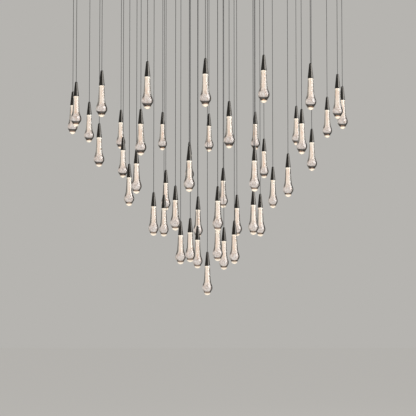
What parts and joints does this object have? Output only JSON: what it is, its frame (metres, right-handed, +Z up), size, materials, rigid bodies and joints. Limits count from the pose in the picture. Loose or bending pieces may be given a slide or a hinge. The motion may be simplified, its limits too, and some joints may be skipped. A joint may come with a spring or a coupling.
{
  "type": "crystal chandelier",
  "caption": "Round ceiling canopy with solid bubbled-glass teardrops hung on straight cords in a stepped inverted cone, each drop under a slender dark metal cap.",
  "frame": {"origin": "middle of the ceiling frame's top face, on the centre of the ceiling bolt circle", "axes": "+Z up into the ceiling; the drops hang along -Z; -Y is the side that faces the picture's viewer and +X is to the viewer's right"},
  "size_m": [1.837, 1.837, 2.307],
  "materials": {
    "seeded_crystal": "solid clear crystal full of fine bubbles, fire-polished",
    "cap_metal": "polished black nickel on turned metal",
    "cord_jacket": "smooth dark grey cord jacket",
    "led_module": "warm white light source on an aluminium spreader",
    "canopy_finish": "satin black nickel on sheet metal",
    "frame_steel": "zinc-plated steel bar",
    "bright_steel": "plated steel hardware",
    "driver_case": "moulded white plastic case",
    "harness_sleeve": "grey sleeve over bundled leads",
    "terminal_plastic": "moulded off-white plastic"
  },
  "bodies": {
    "root": {"ceiling_frame": "frame_steel", "hex_standoffs": "bright_steel", "canopy_plate": "canopy_finish", "cap_nuts": "cap_metal", "canopy_skirt": "canopy_finish", "skirt_screws": "cap_metal", "cord_grips": "cap_metal", "led_drivers": "driver_case", "low_voltage_harness": "harness_sleeve", "mains_leads": "harness_sleeve", "terminal_block": "terminal_plastic", "supply_bushing": "terminal_plastic", "earth_screw": "bright_steel", "second_ring_cords": "cord_jacket", "third_ring_cords": "cord_jacket", "fourth_ring_cords": "cord_jacket", "outer_ring_cords": "cord_jacket"},
    "centre_suspension": {"centre_cord": "cord_jacket"},
    "centre_pendant": {"centre_cap": "cap_metal", "centre_led_module": "led_module", "centre_glass_drop": "seeded_crystal"},
    "inner_1_suspension": {"inner_1_cord": "cord_jacket"},
    "inner_1_pendant": {"inner_1_cap": "cap_metal", "inner_1_led_module": "led_module", "inner_1_glass_drop": "seeded_crystal"},
    "inner_2_suspension": {"inner_2_cord": "cord_jacket"},
    "inner_2_pendant": {"inner_2_cap": "cap_metal", "inner_2_led_module": "led_module", "inner_2_glass_drop": "seeded_crystal"},
    "inner_3_suspension": {"inner_3_cord": "cord_jacket"},
    "inner_3_pendant": {"inner_3_cap": "cap_metal", "inner_3_led_module": "led_module", "inner_3_glass_drop": "seeded_crystal"},
    "inner_4_suspension": {"inner_4_cord": "cord_jacket"},
    "inner_4_pendant": {"inner_4_cap": "cap_metal", "inner_4_led_module": "led_module", "inner_4_glass_drop": "seeded_crystal"},
    "inner_5_suspension": {"inner_5_cord": "cord_jacket"},
    "inner_5_pendant": {"inner_5_cap": "cap_metal", "inner_5_led_module": "led_module", "inner_5_glass_drop": "seeded_crystal"},
    "inner_6_suspension": {"inner_6_cord": "cord_jacket"},
    "inner_6_pendant": {"inner_6_cap": "cap_metal", "inner_6_led_module": "led_module", "inner_6_glass_drop": "seeded_crystal"},
    "second_ring_pendants": {"second_ring_caps": "cap_metal", "second_ring_led_modules": "led_module", "second_ring_glass_drops": "seeded_crystal"},
    "third_ring_pendants": {"third_ring_caps": "cap_metal", "third_ring_led_modules": "led_module", "third_ring_glass_drops": "seeded_crystal"},
    "fourth_ring_pendants": {"fourth_ring_caps": "cap_metal", "fourth_ring_led_modules": "led_module", "fourth_ring_glass_drops": "seeded_crystal"},
    "outer_ring_pendants": {"outer_ring_caps": "cap_metal", "outer_ring_led_modules": "led_module", "outer_ring_glass_drops": "seeded_crystal"}
  },
  "joints": [
    {"name": "centre_swing", "type": "hinge", "parent": "root", "child": "centre_suspension", "pos_m": [0, 0, -0.07], "axis": [0, -1, 0], "range_deg": [-2.5, 2.5]},
    {"name": "centre_height", "type": "slide", "parent": "centre_suspension", "child": "centre_pendant", "axis": [0, 0, 1], "range_m": [0, 0.3], "deforming": ["centre_cord"]},
    {"name": "inner_1_swing", "type": "hinge", "parent": "root", "child": "inner_1_suspension", "pos_m": [0.06735, -0.1626, -0.07], "axis": [0, -1, 0], "range_deg": [-2.5, 2.5]},
    {"name": "inner_1_height", "type": "slide", "parent": "inner_1_suspension", "child": "inner_1_pendant", "axis": [0, 0, 1], "range_m": [0, 0.3], "deforming": ["inner_1_cord"]},
    {"name": "inner_2_swing", "type": "hinge", "parent": "root", "child": "inner_2_suspension", "pos_m": [0.17449, -0.02297, -0.07], "axis": [0, -1, 0], "range_deg": [-2.5, 2.5]},
    {"name": "inner_2_height", "type": "slide", "parent": "inner_2_suspension", "child": "inner_2_pendant", "axis": [0, 0, 1], "range_m": [0, 0.3], "deforming": ["inner_2_cord"]},
    {"name": "inner_3_swing", "type": "hinge", "parent": "root", "child": "inner_3_suspension", "pos_m": [0.10714, 0.13963, -0.07], "axis": [0, -1, 0], "range_deg": [-2.5, 2.5]},
    {"name": "inner_3_height", "type": "slide", "parent": "inner_3_suspension", "child": "inner_3_pendant", "axis": [0, 0, 1], "range_m": [0, 0.3], "deforming": ["inner_3_cord"]},
    {"name": "inner_4_swing", "type": "hinge", "parent": "root", "child": "inner_4_suspension", "pos_m": [-0.06735, 0.1626, -0.07], "axis": [0, -1, 0], "range_deg": [-2.5, 2.5]},
    {"name": "inner_4_height", "type": "slide", "parent": "inner_4_suspension", "child": "inner_4_pendant", "axis": [0, 0, 1], "range_m": [0, 0.3], "deforming": ["inner_4_cord"]},
    {"name": "inner_5_swing", "type": "hinge", "parent": "root", "child": "inner_5_suspension", "pos_m": [-0.17449, 0.02297, -0.07], "axis": [0, -1, 0], "range_deg": [-2.5, 2.5]},
    {"name": "inner_5_height", "type": "slide", "parent": "inner_5_suspension", "child": "inner_5_pendant", "axis": [0, 0, 1], "range_m": [0, 0.3], "deforming": ["inner_5_cord"]},
    {"name": "inner_6_swing", "type": "hinge", "parent": "root", "child": "inner_6_suspension", "pos_m": [-0.10714, -0.13963, -0.07], "axis": [0, -1, 0], "range_deg": [-2.5, 2.5]},
    {"name": "inner_6_height", "type": "slide", "parent": "inner_6_suspension", "child": "inner_6_pendant", "axis": [0, 0, 1], "range_m": [0, 0.3], "deforming": ["inner_6_cord"]},
    {"name": "second_ring_height", "type": "slide", "parent": "root", "child": "second_ring_pendants", "axis": [0, 0, 1], "range_m": [0, 0.3], "deforming": ["second_ring_cords"]},
    {"name": "third_ring_height", "type": "slide", "parent": "root", "child": "third_ring_pendants", "axis": [0, 0, 1], "range_m": [0, 0.3], "deforming": ["third_ring_cords"]},
    {"name": "fourth_ring_height", "type": "slide", "parent": "root", "child": "fourth_ring_pendants", "axis": [0, 0, 1], "range_m": [0, 0.3], "deforming": ["fourth_ring_cords"]},
    {"name": "outer_ring_height", "type": "slide", "parent": "root", "child": "outer_ring_pendants", "axis": [0, 0, 1], "range_m": [0, 0.3], "deforming": ["outer_ring_cords"]}
  ]
}
